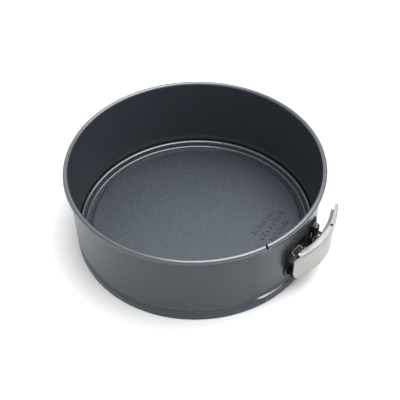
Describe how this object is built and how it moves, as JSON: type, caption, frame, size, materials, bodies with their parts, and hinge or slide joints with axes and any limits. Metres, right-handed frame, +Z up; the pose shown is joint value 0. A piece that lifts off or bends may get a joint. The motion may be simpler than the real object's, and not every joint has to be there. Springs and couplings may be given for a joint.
{
  "type": "springform pan",
  "caption": "Round springform pan: a non-stick split steel ring with a rolled rim and bead, an over-centre latch lever, and a loose base plate that lifts out.",
  "frame": {"origin": "on the pan's axis, in the plane that the ring stands on", "axes": "+Z up along the pan's axis; -Y towards the latch at the front; +X to the right as the latch is faced"},
  "size_m": [0.238, 0.251, 0.0828],
  "materials": {
    "ring_coating": "dark grey non-stick coating, satin",
    "base_coating": "dark grey non-stick coating, fine texture",
    "black_hardware": "black, semi-gloss",
    "stainless_lever": "lightly brushed stainless",
    "steel_fasteners": "plated steel"
  },
  "bodies": {
    "right_ring": {"band_right": "ring_coating", "right_bracket": "black_hardware", "keeper_pin": "steel_fasteners", "right_bracket_rivet_1": "steel_fasteners", "right_bracket_rivet_2": "steel_fasteners"},
    "left_ring": {"band_left": "ring_coating", "left_bracket": "black_hardware", "upper_fulcrum_rivet": "steel_fasteners", "lower_fulcrum_rivet": "steel_fasteners", "left_bracket_rivet_1": "steel_fasteners", "left_bracket_rivet_2": "steel_fasteners", "left_bracket_rivet_3": "steel_fasteners"},
    "lever": {"lever": "stainless_lever", "hook_pin": "steel_fasteners"},
    "link": {"link": "black_hardware", "link_cross_rivet": "steel_fasteners"},
    "base": {"base_plate": "base_coating"}
  },
  "joints": [
    {"name": "lever_swing", "type": "hinge", "parent": "left_ring", "child": "lever", "pos_m": [-0.0236, -0.1211, 0.038], "axis": [0, 0, -1], "range_deg": [0, 100]},
    {"name": "ring_open", "type": "hinge", "parent": "right_ring", "child": "left_ring", "pos_m": [0, 0.119, 0.04], "axis": [0, 0, -1], "range_deg": [0, 1.09]},
    {"name": "link_swing", "type": "hinge", "parent": "right_ring", "child": "link", "pos_m": [0.0125, -0.1187, 0.038], "axis": [0, 0, -1], "range_deg": [0, 7]},
    {"name": "base_lift", "type": "slide", "parent": "right_ring", "child": "base", "axis": [0, 0, 1], "range_m": [0, 0.09]}
  ],
  "couplings": [
    {"joint": "ring_open", "follows": "lever_swing", "ratio": 0.01059},
    {"joint": "link_swing", "follows": "lever_swing", "ratio": 0.06876}
  ]
}
